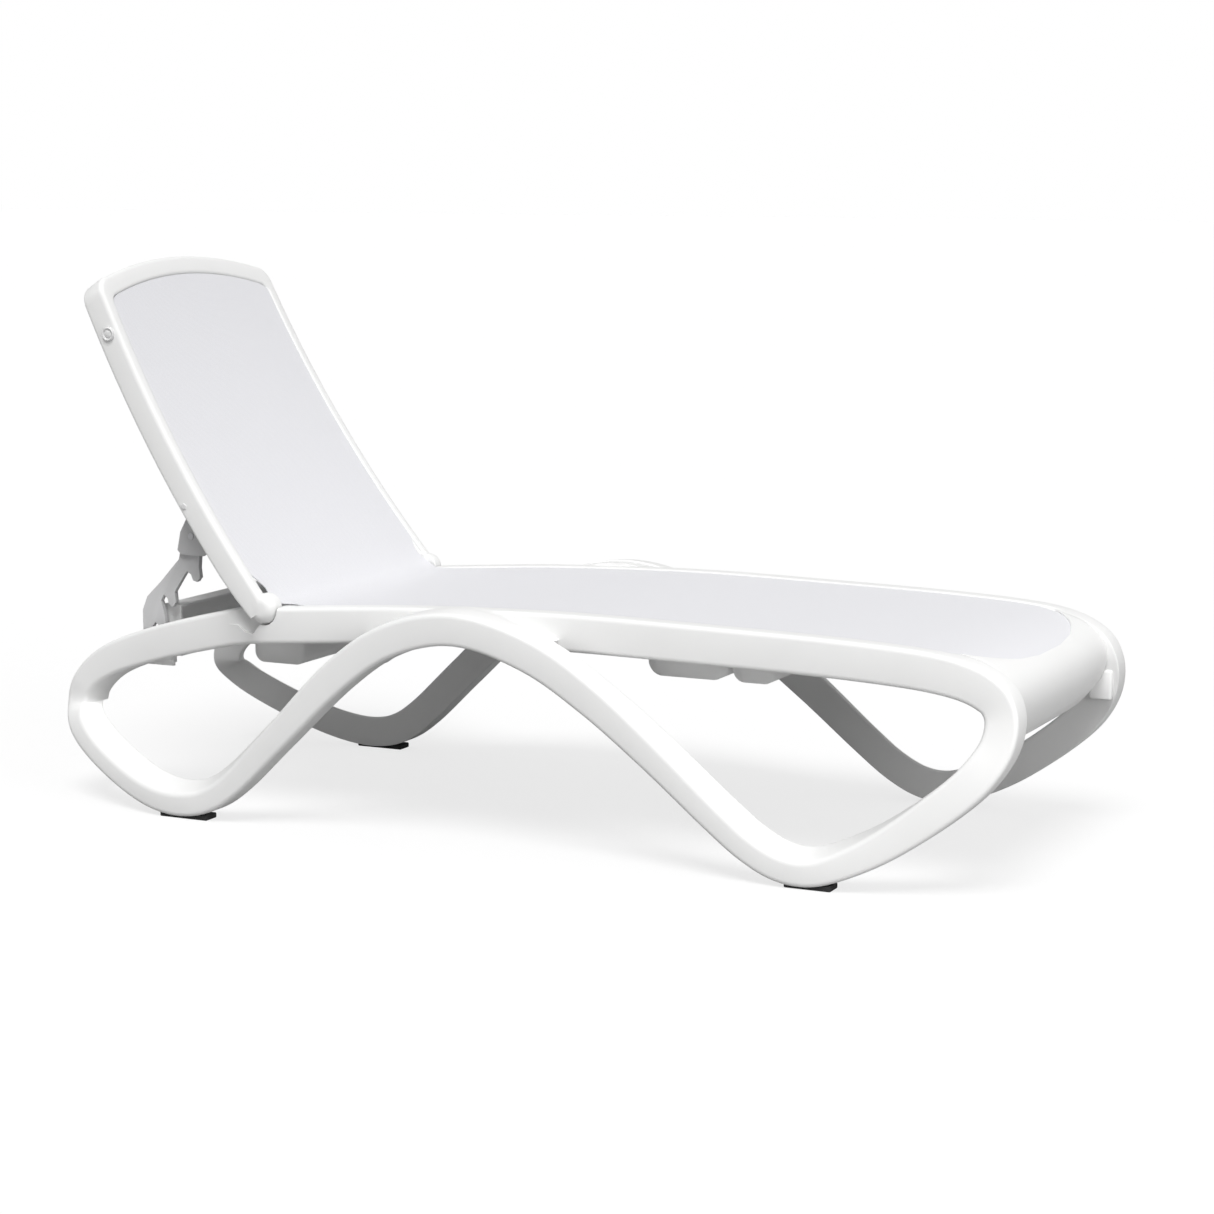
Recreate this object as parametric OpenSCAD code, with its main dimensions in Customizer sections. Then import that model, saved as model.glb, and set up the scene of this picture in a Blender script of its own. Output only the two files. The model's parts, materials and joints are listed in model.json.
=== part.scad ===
// Stackable reclining sun lounger: two wave-shaped moulded side frames, cross
// members, a sling seat and a sling backrest on toothed prop arms.
// X runs along the lounger, feet end at +X. Y is across. Z is up, floor at 0.

/* [Overall] */
// length of the side frames, head nose to foot nose
base_len = 1720; // [1450:10:2050]
// width over the four feet
width = 700; // [600:10:840]
// height of the seat rails at their highest
seat_h = 378; // [320:2:450]
// length of the backrest from its hinge to the top
back_len = 660; // [560:10:780]

/* [Side frames] */
// thickness of the moulded band, across the lounger
band_d = 46; // [36:1:60]
// width of the inner face of the band
band_in = 57; // [45:1:70]
// how far the seat rails stand inside the feet
rail_inset = 66; // [60:1:80]
// how far the head noses stand inside the feet
nose_inset = 97; // [90:1:110]
// softened edge of the band
edge = 5; // [2:0.5:8]
// thickness of the rubber pads under the feet
pad_t = 9; // [6:1:14]
// width of the rubber pads
pad_w = 32; // [20:1:40]

/* [Cross members] */
// how deep the ends of the cross members go into the rails
tenon = 8; // [4:1:12]
// wall thickness of the moulded cross members
wall = 5; // [3:0.5:8]
// diameter of the rod the prop arms catch on
catch_d = 10; // [8:1:14]
// how far the foot panel falls back from the noses at its lower edge
panel_drop = 26; // [10:1:32]
// how far the foot panel reaches below its curve
apron = 18; // [4:1:24]

/* [Backrest] */
// angle of the backrest above the floor when it is up
back_angle = 57; // [50:1:65]
// radius of the hollow of the back
back_r = 2385; // [1800:5:3500]
// front to back thickness of the backrest frame
frame_t = 45; // [36:1:60]
// width of the side members of the backrest, seen from the front
stile_w = 25; // [20:1:34]
// how much narrower the backrest is at the top, each side
back_taper = 28; // [0:1:40]
// rise of the arched top edge
top_rise = 28; // [0:1:45]
// radius of the top corners
corner_r = 34; // [20:1:60]
// diameter of the round caps near the top
cap_d = 23; // [16:1:30]

/* [Hinge] */
// radius of the round hinge knuckles
knuckle_r = 25; // [20:0.5:32]
// diameter of the hinge pins
pin_d = 12; // [8:0.5:16]
// running clearance of the pins, on the radius
pin_clear = 0.05; // [0.02:0.01:0.1]
// gap between the knuckle and its socket
socket_gap = 2.5; // [1:0.5:5]

/* [Prop] */
// thickness of the toothed prop arms
arm_t = 10; // [6:1:14]
// gap on each side of an arm in its bracket
arm_gap = 1.5; // [0.5:0.5:4]
// diameter of the prop rod
rod_d = 12; // [8:0.5:16]

/* [Sling] */
// thickness of the sling cloth
sling_t = 2.5; // [1.5:0.5:5]
// depth of the sling below the face of the frame
sling_in = 4; // [2:0.5:8]
// gap between the two slings at the hinge line
sling_gap = 40; // [20:5:80]
// length of the rounded foot end of the sling
sling_round = 120; // [60:5:180]

/* [Hidden] */
half = width / 2;
sx = base_len / 1720;
sz = seat_h / 378;
hinge_x = -440 * sx;
hinge_z = 354 * sz;
rail_out = half - rail_inset;
rail_in = rail_out - band_d;
knuckle_out = rail_out + 10;
knuckle_in = rail_out - 22;
stile_in = knuckle_out - stile_w;
seat_half = rail_out - 35;
sub = 2;
arm_y = half - nose_inset - band_d - 16;
white = [0.93, 0.93, 0.92];
cloth = [0.82, 0.82, 0.84];
grey = [0.55, 0.55, 0.56];
dark = [0.15, 0.15, 0.15];
steel = [0.7, 0.7, 0.72];

// The closed loop of a side frame, going round from the hinge over the head
// nose, the head foot, the crest, the foot-end foot and the foot nose.
// Each row: x, z of the outside edge, width of the outer face, inset from the feet.
loop = [
  [-440, 351, 60, rail_inset], [-500, 343, 60, rail_inset + 18],
  [-560, 331, 60, nose_inset - 5], [-690, 297, 58, nose_inset],
  [-790, 257, 52, nose_inset], [-846, 206, 42, nose_inset],
  [-860, 155, 38, nose_inset - 2], [-838, 114, 36, 70],
  [-783, 74, 34, 45], [-700, 33, 34, 20],
  [-630, 10, 36, 5], [-567, 4, 39, 0],
  [-510, 17, 39, 0], [-454, 54, 39, 0],
  [-370, 133, 43, 0], [-254, 240, 52, 0],
  [-160, 301, 53, 0], [-50, 325, 52, 0],
  [70, 295, 53, 0], [175, 236, 50, 0],
  [280, 160, 44, 0], [380, 80, 40, 0],
  [440, 36, 39, 0], [495, 10, 39, 0],
  [550, 4, 39, 0], [605, 18, 41, 3],
  [680, 54, 48, 13], [760, 109, 54, 25],
  [822, 166, 55, 38], [855, 225, 53, 54],
  [857, 283, 53, 64], [826, 328, 57, rail_inset],
  [750, 357, 60, rail_inset], [600, 369, 60, rail_inset],
  [350, 375, 60, rail_inset], [100, 378, 60, rail_inset],
  [-150, 371, 60, rail_inset], [-310, 361, 60, rail_inset]
];
loop_n = len(loop);

function lp(i) = loop[(i + loop_n) % loop_n];
function knot(p0, p1, p2, p3, t) =
  0.5 * (2 * p1 + (p2 - p0) * t + (2 * p0 - 5 * p1 + 4 * p2 - p3) * t * t
  + (3 * p1 - p0 - 3 * p2 + p3) * t * t * t);
line = [for (i = [0 : loop_n - 1]) for (s = [0 : sub - 1])
  knot(lp(i - 1), lp(i), lp(i + 1), lp(i + 2), s / sub)];
line_n = len(line);
path = [for (p = line) [p[0] * sx, p[1] * sz, p[2], p[3]]];
function pt(i) = path[(i + line_n) % line_n];
function ahead(i) = let (d = [pt(i + 1)[0] - pt(i - 1)[0], pt(i + 1)[1] - pt(i - 1)[1]]) d / norm(d);
// a point of the band, n inward from the outside edge in the side view
function inward(i, n) = [pt(i)[0] - ahead(i)[1] * n, pt(i)[1] + ahead(i)[0] * n];
function section(w) = let (wi = max(w, band_in)) [
  [edge, 0], [w - edge, 0], [w, edge], [wi, band_d - edge],
  [wi - edge, band_d], [edge, band_d], [0, band_d - edge], [0, edge]];
ring = [for (i = [0 : line_n - 1]) for (q = section(pt(i)[2]))
  let (v = inward(i, q[0])) [v[0], -(half - pt(i)[3]) + q[1], v[1]]];
ring_faces = [for (i = [0 : line_n - 1]) for (j = [0 : 7])
  let (a = i * 8, b = ((i + 1) % line_n) * 8, k = (j + 1) % 8)
  each [[a + j, a + k, b + k], [a + j, b + k, b + j]]];

// stations on the top of the seat rail, from the foot nose back to the hinge
seat_first = 31 * sub;
seat_last = line_n - 1;
// stations where the crest of the wave runs beside the rail and is joined to it
web_first = 15.5 * sub;
web_last = 18.5 * sub;
function strip(n, a, b) = [for (i = [a : b]) inward(i, n)];
function back_strip(n, a, b) = [for (i = [b : -1 : a]) inward(i, n)];
module slab(n0, n1, a, b, y) {
  rotate([90, 0, 0])
    linear_extrude(height = 2 * y, center = true)
      polygon(concat(strip(n0, a, b), back_strip(n1, a, b)));
}

// The prop rod, in the flat frame of the backrest and in place
prop_u = 189;
prop_n = -106;
prop_x = hinge_x - prop_u * cos(back_angle) + prop_n * sin(back_angle);
prop_z = hinge_z + prop_u * sin(back_angle) + prop_n * cos(back_angle);
catch_x = prop_x - 92;
catch_z = prop_z - 217;

// Cross member ends: x, z, length along x, height, gap between member and rail
rear_ten = [prop_x - 72, 258 * sz, 64, 36, 2];
hinge_ten = [hinge_x - 9, 304 * sz, 84, 24, 21];
mid_ten = [307 * sx, 335 * sz, 110, 26, 1];
front_ten = [420 * sx, 335 * sz, 46, 26, 1];
nose_ten = [795 * sx, 306 * sz, 26, 46, 1];
head_in = half - nose_inset - band_d;
module end_block(t, y, side) {
  translate([t[0], side * (y + (tenon - t[4]) / 2 - 1), t[1]])
    cube([t[2], tenon + t[4] + 2, t[3]], center = true);
}
module bar_y(x, z, dx, dz, y0, y1) {
  translate([x - dx / 2, y0, z - dz / 2])
    cube([dx, y1 - y0, dz]);
}
module rod_y(x, z, d, y0, y1) {
  translate([x, y1, z])
    rotate([90, 0, 0])
      cylinder(d = d, h = y1 - y0, $fn = 64);
}
module both() {
  children();
  mirror([0, 1, 0])
    children();
}

// Clearance cut in the rail for the knuckle and the heel of the backrest
module socket_cut() {
  translate([hinge_x, 1 - knuckle_in, hinge_z])
    rotate([90, 0, 0])
      cylinder(r = knuckle_r + socket_gap, h = 60, $fn = 64);
  translate([hinge_x, 1 - knuckle_in, hinge_z])
    rotate([90, 0, 0])
      linear_extrude(height = 60)
        polygon([[-4, -25], [-24, -46], [-46, -46], [-60, -35], [-150, -34], [-150, 80], [0, 80]]);
}
module pad_shape(x, len) {
  translate([x * sx - len / 2, -half + (band_d - pad_w) / 2, 0])
    cube([len, pad_w, pad_t]);
}
module lug_shape() {
  translate([812 * sx, -rail_in - 14, 216 * sz])
    cube([38, 14, 50]);
}

module side_frame() {
  difference() {
    union() {
      polyhedron(points = ring, faces = ring_faces, convexity = 8);
      translate([0, -(rail_out + half - band_d) / 2, 0])
        rotate([90, 0, 0])
          linear_extrude(height = half - band_d - rail_out + 16, center = true)
            polygon(concat(strip(3, web_first, web_last), back_strip(band_in - 4, web_first, web_last)));
      rod_y(hinge_x, hinge_z, 44, 1 - knuckle_in, -rail_in);
    }
    socket_cut();
    rod_y(hinge_x, hinge_z, pin_d, -knuckle_in, 10 - rail_in);
    end_block(rear_ten, head_in, -1);
    for (t = [hinge_ten, mid_ten, front_ten, nose_ten])
      end_block(t, rail_in, -1);
    pad_shape(-566, 92);
    pad_shape(552, 76);
    lug_shape();
    slab(-20, sling_in + sling_t, seat_first, seat_last, seat_half);
  }
}
module leg_frame_right() {
  color(white)
    side_frame();
}
module leg_frame_left() {
  color(white)
    mirror([0, 1, 0])
      side_frame();
}
module pad_head_right() {
  color(dark)
    pad_shape(-566, 92);
}
module pad_head_left() {
  color(dark)
    mirror([0, 1, 0])
      pad_shape(-566, 92);
}
module pad_foot_right() {
  color(dark)
    pad_shape(552, 76);
}
module pad_foot_left() {
  color(dark)
    mirror([0, 1, 0])
      pad_shape(552, 76);
}

// Curved foot end below and beyond the sling, with a lip round the sling. It falls
// back from the noses of the side frames towards its lower edge.
panel_first = 29 * sub;
panel_last = 32.5 * sub;
panel_level = 31.5 * sub;
function set_back(i) = panel_drop * pow(max(0, panel_level - i) / (panel_level - panel_first), 1.5);
module panel_shape() {
  t = sling_in + sling_t + wall;
  rotate([90, 0, 0])
    linear_extrude(height = 2 * (rail_in - nose_ten[4]), center = true)
      polygon(concat(
        [inward(panel_first, panel_drop + 2) - apron * ahead(panel_first)],
        [for (i = [panel_first : panel_last]) inward(i, set_back(i))],
        [for (i = [panel_last : -1 : panel_first]) inward(i, set_back(i) + t)],
        [inward(panel_first, panel_drop + 2 + t) - apron * ahead(panel_first)]));
}
module foot_panel() {
  color(white) {
    difference() {
      panel_shape();
      intersection() {
        slab(-20, sling_in + sling_t, 28 * sub, 33 * sub, seat_half);
        sling_plan();
      }
    }
    bar_y(nose_ten[0], nose_ten[1], nose_ten[2], nose_ten[3], nose_ten[4] - rail_in, rail_in - nose_ten[4]);
    both()
      end_block(nose_ten, rail_in, -1);
  }
}
module foot_lug_right() {
  color(white)
    lug_shape();
}
module foot_lug_left() {
  color(white)
    mirror([0, 1, 0])
      lug_shape();
}

// Tray-shaped cross beams under the seat
module tray(w, h, r) {
  translate([r - w / 2, 0])
    square([w - 2 * r, h]);
  translate([-w / 2, r])
    square([w, h - r]);
  for (s = [-1, 1])
    translate([s * (w / 2 - r), r])
      circle(r = r, $fn = 48);
}
module beam(t, w, z0, h, r) {
  y = rail_in - t[4];
  translate([t[0], 0, z0])
    rotate([90, 0, 0])
      linear_extrude(height = 2 * y, center = true)
        difference() {
          tray(w, h, r);
          translate([0, wall])
            tray(w - 2 * wall, h, r - wall);
        }
  both()
    translate([t[0], wall - y, z0])
      rotate([90, 0, 0])
        linear_extrude(height = wall)
          tray(w, h, r);
  both()
    end_block(t, rail_in, -1);
}
module hinge_crossbeam() {
  color(white)
    beam(hinge_ten, 98, 252 * sz, 64, 18);
}
module mid_crossbeam() {
  color(white)
    beam(mid_ten, 134, 289 * sz, 60, 24);
}
module front_crossbeam() {
  color(white)
    beam(front_ten, 72, 289 * sz, 60, 20);
}

// Rear cross member: a deep channel between the prop arms, carried on the catch
// rod by its two lugs, and end plates outside the arms that fix the rod to the rails
rear_x = rear_ten[0] + 15;
rear_half = head_in - rear_ten[4];
channel_half = arm_y - 13;
channel_low = catch_z + 4;
channel_h = 331 * sz - channel_low;
rod_wall = 9;
module rear_crossbar() {
  color(white)
    difference() {
      union() {
        both() {
          translate([rear_ten[0] - rear_ten[2] / 2, -rear_half, catch_z - rod_wall])
            cube([rear_ten[2], 7, rear_ten[1] + rear_ten[3] / 2 - catch_z + rod_wall]);
          end_block(rear_ten, head_in, -1);
          translate([catch_x - rod_wall, -channel_half, catch_z - rod_wall])
            cube([rear_x - catch_x + rod_wall, 10, rod_wall + 30]);
        }
        difference() {
          bar_y(rear_x, channel_low + channel_h / 2, 34, channel_h, -channel_half, channel_half);
          translate([rear_x - 17 + wall, wall - channel_half, channel_low + wall])
            cube([40, 2 * (channel_half - wall), channel_h - 2 * wall]);
        }
      }
      rod_y(catch_x, catch_z, catch_d, -head_in - 1, head_in + 1);
    }
}
module catch_rod() {
  color(steel)
    rod_y(catch_x, catch_z, catch_d, -rear_half, rear_half);
}

// Hinge pins, headed on the inside
module pin_right() {
  rod_y(hinge_x, hinge_z, pin_d, -knuckle_out + 6, -rail_in);
  rod_y(hinge_x, hinge_z, pin_d + 8, -rail_in, 5 - rail_in);
}
module hinge_pin_right() {
  color(steel)
    pin_right();
}
module hinge_pin_left() {
  color(steel)
    mirror([0, 1, 0])
      pin_right();
}

// Plan of the sling over the seat, with a rounded foot end
sling_end = 820 * sx;
round_power = 2.6;
module sling_plan() {
  head = -560 * sx;
  translate([0, 0, 100 * sz])
    linear_extrude(height = 500 * sz)
      polygon(concat([[head, -seat_half]],
        [for (a = [-90 : 7.5 : 90])
          [sling_end - sling_round * (1 - pow(cos(a), 2 / round_power)),
            sign(a) * seat_half * pow(abs(sin(a)), 2 / round_power)]],
        [[head, seat_half]]));
}
module seat_sling() {
  color(cloth)
    intersection() {
      slab(sling_in, sling_in + sling_t, 30 * sub, seat_last, seat_half);
      sling_plan();
    }
}

// The backrest is drawn lying flat along -X from the hinge, face up, then raised
module raised() {
  translate([hinge_x, 0, hinge_z])
    rotate([0, back_angle, 0])
      children();
}
top_w = knuckle_out - back_taper;
top_u = back_len - top_rise;
function arch(y, a, rise) = let (h = max(rise, 1), r = (a * a + h * h) / (2 * h)) h - r + sqrt(r * r - y * y);
function outline(u0, w0, w1, uc, rise, r) = concat(
  [[-u0, -w0]],
  [for (a = [0 : 15 : 90]) [-(uc - r + r * sin(a)), -(w1 - r + r * cos(a))]],
  [for (k = [1 : 11]) let (y = (w1 - r) * (k / 6 - 1)) [-(uc + arch(y, w1 - r, rise)), y]],
  [for (a = [90 : -15 : 0]) [-(uc - r + r * sin(a)), w1 - r + r * cos(a)]],
  [[-u0, w0]]);
module bent(n0, n1, pts) {
  intersection() {
    translate([0, 0, -150])
      linear_extrude(height = 300)
        polygon(pts);
    translate([-0.443 * back_len, 0, back_r - 5])
      rotate([90, 0, 0])
        linear_extrude(height = 2 * knuckle_out + 20, center = true)
          difference() {
            circle(r = back_r + n1, $fn = 360);
            circle(r = back_r + n0, $fn = 360);
          }
  }
}
function back_face(u) = back_r - 5 - sqrt(back_r * back_r - pow(u - 0.443 * back_len, 2));
function side_y(u) = knuckle_out - back_taper * u / top_u;
top_bar = 38;
module back_sling_shape() {
  bent(sling_in, sling_in + sling_t,
    outline(sling_gap, stile_in + 5 - back_taper * sling_gap / top_u, top_w - stile_w + 5,
      top_u - top_bar + 5, top_rise, 25));
}
cap_u = back_len - 123;
screw_u = 218;
module cap_shape() {
  rod_y(-cap_u, back_face(cap_u) - 20, cap_d, -side_y(cap_u) - 3, 12 - side_y(cap_u));
}
module screw_shape() {
  rod_y(-screw_u, back_face(screw_u) - 34, 10, -side_y(screw_u) - 1, 3 - side_y(screw_u));
  rod_y(-screw_u, back_face(screw_u) - 34, 5, -side_y(screw_u), 40 - side_y(screw_u));
}
module knuckle() {
  translate([0, -knuckle_in, 0])
    rotate([90, 0, 0])
      rotate_extrude($fn = 64)
        polygon(concat([[0, 0], [knuckle_r, 0], [knuckle_r, 16]],
          [for (a = [15 : 15 : 75]) [knuckle_r - 16 + 16 * cos(a), 16 + 16 * sin(a)]],
          [[knuckle_r - 16, 32], [0, 32]]));
}
// Trims the heel of the side members in line with the round knuckles
module heel_cut() {
  rotate([90, 0, 0])
    linear_extrude(height = 2 * knuckle_out + 2, center = true)
      polygon([[1, -knuckle_r - 0.5], [-64, -knuckle_r - 15], [-64, -80], [1, -80]]);
}
module back_frame() {
  color(white)
    raised()
      difference() {
        union() {
          difference() {
            bent(0, frame_t, outline(0, knuckle_out, top_w, top_u, top_rise, corner_r));
            translate([0, 0, -200])
              linear_extrude(height = 400)
                polygon(outline(-10, stile_in, top_w - stile_w, top_u - top_bar, top_rise, 20));
          }
          both()
            knuckle();
          bar_y(-190, -36, 50, 20, -side_y(190) + 6, side_y(190) - 6);
        }
        heel_cut();
        back_sling_shape();
        both() {
          rod_y(0, 0, pin_d + 2 * pin_clear, -knuckle_out + 5.5, 1 - knuckle_in);
          cap_shape();
          screw_shape();
        }
      }
}
module back_sling() {
  color(cloth)
    raised()
      back_sling_shape();
}
module side_cap_right() {
  color(grey)
    raised()
      cap_shape();
}
module side_cap_left() {
  color(grey)
    raised()
      mirror([0, 1, 0])
        cap_shape();
}
module crossbar_screws() {
  color(steel)
    raised()
      both()
        screw_shape();
}

// Forked brackets on the back of the backrest, carrying the prop rod
fork = arm_t / 2 + arm_gap;
module bracket_shape() {
  difference() {
    union() {
      for (y = [-arm_y - fork - 6, -arm_y + fork])
        translate([0, y + 6, 0])
          rotate([90, 0, 0])
            linear_extrude(height = 6)
              polygon([[-148, -46], [-224, -46], [-218, prop_n + 8], [-206, prop_n - 14],
                [-183, prop_n - 37], [-173, prop_n - 35], [-148, prop_n + 2]]);
      translate([-214, -arm_y - fork - 6, -51])
        cube([48, 2 * fork + 12, 5]);
    }
    rod_y(-prop_u, prop_n, rod_d + 2 * pin_clear, -arm_y - 40, -arm_y + 40);
  }
}
module prop_bracket_right() {
  color(grey)
    raised()
      bracket_shape();
}
module prop_bracket_left() {
  color(grey)
    raised()
      mirror([0, 1, 0])
        bracket_shape();
}

// Toothed arm, seen from the side, round its pivot
arm_pts = [
  [-4, 16], [-14, 10], [-22, -8], [-30, -42], [-68, -83], [-96, -110], [-106, -134],
  [-106, -192], [-99, -204], [-90, -198], [-87, -162], [-81, -154], [-74, -159],
  [-70, -174], [-62, -180], [-57, -170], [-62, -138], [-68, -116], [-62, -105],
  [-55, -111], [-52, -121], [-44, -125], [-38, -117], [-40, -99], [-20, -69],
  [-14, -62], [-6, -67], [-2, -77], [6, -79], [12, -71], [10, -55], [14, -8], [8, 14]];
module arm_shape() {
  translate([prop_x, -arm_y + arm_t / 2, prop_z])
    rotate([90, 0, 0])
      linear_extrude(height = arm_t)
        difference() {
          union() {
            polygon(arm_pts);
            circle(r = 16, $fn = 48);
          }
          circle(d = rod_d, $fn = 48);
        }
}
module prop_arm_right() {
  color(grey)
    arm_shape();
}
module prop_arm_left() {
  color(grey)
    mirror([0, 1, 0])
      arm_shape();
}
module prop_rod() {
  color(steel)
    rod_y(prop_x, prop_z, rod_d, -arm_y - fork - 7, arm_y + fork + 7);
}

leg_frame_right();
leg_frame_left();
pad_head_right();
pad_head_left();
pad_foot_right();
pad_foot_left();
foot_panel();
foot_lug_right();
foot_lug_left();
hinge_crossbeam();
mid_crossbeam();
front_crossbeam();
rear_crossbar();
catch_rod();
hinge_pin_right();
hinge_pin_left();
seat_sling();
back_frame();
back_sling();
side_cap_right();
side_cap_left();
crossbar_screws();
prop_bracket_right();
prop_bracket_left();
prop_arm_right();
prop_arm_left();
prop_rod();
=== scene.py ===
# %% [markdown]
# A reclining sun lounger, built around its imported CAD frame.
# The real object is a set of white resin mouldings, a woven sling and a grey prop mechanism.
# The CAD frame says where everything is and how it moves. Here each moulding gets its
# softened edges, the sling becomes one cloth, and each finish becomes a node material.

import json
import math

import bmesh
import bpy
from mathutils import Matrix, Vector


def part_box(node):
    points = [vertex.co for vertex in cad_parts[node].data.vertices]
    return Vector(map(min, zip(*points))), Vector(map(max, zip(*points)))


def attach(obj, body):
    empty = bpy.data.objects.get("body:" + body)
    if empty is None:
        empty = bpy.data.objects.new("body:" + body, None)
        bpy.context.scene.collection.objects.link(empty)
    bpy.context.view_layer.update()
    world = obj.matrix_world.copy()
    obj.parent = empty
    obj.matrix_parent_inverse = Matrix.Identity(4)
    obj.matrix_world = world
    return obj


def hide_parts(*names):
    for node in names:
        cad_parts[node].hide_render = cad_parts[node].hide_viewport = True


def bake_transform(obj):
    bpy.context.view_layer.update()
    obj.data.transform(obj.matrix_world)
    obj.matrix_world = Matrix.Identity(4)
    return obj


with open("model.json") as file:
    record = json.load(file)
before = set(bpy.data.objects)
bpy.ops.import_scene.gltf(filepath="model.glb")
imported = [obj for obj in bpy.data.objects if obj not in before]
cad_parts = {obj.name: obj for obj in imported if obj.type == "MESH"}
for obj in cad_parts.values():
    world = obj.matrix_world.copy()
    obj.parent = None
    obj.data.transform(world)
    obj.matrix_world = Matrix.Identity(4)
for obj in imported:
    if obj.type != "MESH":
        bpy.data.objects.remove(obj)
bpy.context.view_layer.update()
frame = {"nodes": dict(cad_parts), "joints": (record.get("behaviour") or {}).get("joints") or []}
MM = 0.001

# %% [markdown]
# The camera stands low at the foot end, on the user's right, with a long lens. A long lens
# keeps the near and the far side frame at nearly the same scale, as a catalogue view does.

# %% Camera
camera = bpy.data.objects.new("camera", bpy.data.cameras.new("camera"))
bpy.context.scene.collection.objects.link(camera)
camera.location = (2.1652, -4.4065, 1.1081)
camera.rotation_euler = (math.radians(81.19), 0, math.radians(25.6))
camera.data.sensor_width = 36
camera.data.lens = 88.1
bpy.context.scene.camera = camera
print("camera at", tuple(camera.location))

# %% [markdown]
# Driving sizes are read from the frame's own boxes, so the looks follow the CAD. The side
# frame tells the half width and the height of the feet, the two joints tell the hinge line
# and the rod that the prop arms turn on.

# %% Driving sizes, in millimetres
leg_low, leg_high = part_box("leg_frame_right")
joints = {j["name"]: j for j in frame["joints"]}
HALF = -leg_low.y / MM - 0.3
LENGTH_SCALE = (leg_high.x - leg_low.x) / MM / 1720
HEIGHT_SCALE = leg_high.z / MM / 378
HINGE = [v / MM for v in joints["backrest_recline"]["pos_m"]]
PROP = [v / MM for v in joints["prop_swing"]["pos_m"]]
BACK_ANGLE = math.radians(57)
BAND = 46
BAND_IN = 57
RAIL_OUT = HALF - 66
RAIL_IN = RAIL_OUT - BAND
SLING_HALF = RAIL_OUT - 35
print("half width", round(HALF, 1), "hinge", HINGE)
print("scales", round(LENGTH_SCALE, 3), round(HEIGHT_SCALE, 3))

# %% [markdown]
# Three small helpers make nearly every shape. One rounds the corners of a flat section,
# one strings sections along a route into a closed skin, and one spins a profile about an
# axis. Building the skin ring by ring gives clean quads that follow the moulding, which
# a boolean of simple blocks would not.


# %% Helpers that make meshes
def soft_section(corners, steps=4):
    """Rounds each corner (a, b, cut) of a flat outline with a small curve of that cut."""
    points = []
    for k, (a, b, cut) in enumerate(corners):
        here = Vector((a, b))
        back = Vector(corners[k - 1][:2]) - here
        on = Vector(corners[(k + 1) % len(corners)][:2]) - here
        start = here + back.normalized() * min(cut, back.length * 0.48)
        end = here + on.normalized() * min(cut, on.length * 0.48)
        for i in range(steps + 1):
            t = i / steps
            points.append((1 - t) ** 2 * start + 2 * t * (1 - t) * here + t * t * end)
    return points


def mesh_object(name, vertices, faces):
    """A mesh object from points in millimetres, with its faces turned outward."""
    mesh = bpy.data.meshes.new(name)
    mesh.from_pydata([Vector(v) * MM for v in vertices], [], faces)
    bm = bmesh.new()
    bm.from_mesh(mesh)
    bmesh.ops.recalc_face_normals(bm, faces=bm.faces)
    bm.to_mesh(mesh)
    bm.free()
    made = bpy.data.objects.new(name, mesh)
    bpy.context.scene.collection.objects.link(made)
    return made


def skin(name, rings, closed=False):
    """Strings equal rings of points into a tube, closed on itself or capped at both ends."""
    n = len(rings[0])
    faces = []
    for i in range(len(rings) if closed else len(rings) - 1):
        a, b = i * n, (i + 1) % len(rings) * n
        faces += [(a + j, a + (j + 1) % n, b + (j + 1) % n, b + j) for j in range(n)]
    if not closed:
        faces += [tuple(range(n)), tuple(range((len(rings) - 1) * n, len(rings) * n))]
    return mesh_object(name, [p for ring in rings for p in ring], faces)


def spun(name, profile, place, turns=48):
    """Spins (radius, distance) points about the Y axis; place puts the result."""
    rings = []
    for k in range(turns):
        angle = 2 * math.pi * k / turns
        rings.append([place(Vector((r * math.cos(angle), d, r * math.sin(angle)))) for r, d in profile])
    n = len(profile)
    vertices = [p for ring in rings for p in ring]
    faces = []
    for k in range(turns):
        a, b = k * n, (k + 1) % turns * n
        faces += [(a + j, a + j + 1, b + j + 1, b + j) for j in range(n - 1)]
    faces += [tuple(k * n for k in range(turns)), tuple(k * n + n - 1 for k in range(turns))]
    return mesh_object(name, vertices, faces)


def smooth_shaded(piece, angle=40):
    """Smooth shading with crisp edges where faces meet at more than the angle."""
    for face in piece.data.polygons:
        face.use_smooth = True
    piece.data.set_sharp_from_angle(angle=math.radians(angle))
    return piece


def applied(piece):
    """Turns a piece's modifiers into plain mesh."""
    bpy.context.view_layer.update()
    deps = bpy.context.evaluated_depsgraph_get()
    mesh = bpy.data.meshes.new_from_object(piece.evaluated_get(deps))
    piece.modifiers.clear()
    piece.data = mesh
    return piece


def cut_or_join(piece, tool, operation):
    """An exact boolean of a piece with a tool, which is then removed."""
    step = piece.modifiers.new("shape", "BOOLEAN")
    step.operation = operation
    step.solver = "EXACT"
    step.object = tool
    applied(piece)
    bpy.data.objects.remove(tool)
    return piece


def mirrored(piece, name):
    """A copy of a piece on the other side of the lounger."""
    other = piece.copy()
    other.data = piece.data.copy()
    other.name = name
    other.data.transform(Matrix.Scale(-1, 4, (0, 1, 0)))
    other.data.flip_normals()
    bpy.context.scene.collection.objects.link(other)
    return other


# %% [markdown]
# Blown and injected resin garden furniture has a satin skin with a very fine grain. Grain
# comes from small noise that drives a bump and a little of the roughness, and large soft
# noise makes the slight unevenness that a big moulding shows in a long highlight. The same
# recipe serves the white frames, the grey prop parts and the rubber pads.


# %% Materials: moulded resin and rubber
def node_material(name):
    made = bpy.data.materials.new(name)
    made.use_nodes = True
    return made, made.node_tree.nodes, made.node_tree.links, made.node_tree.nodes["Principled BSDF"]


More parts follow.
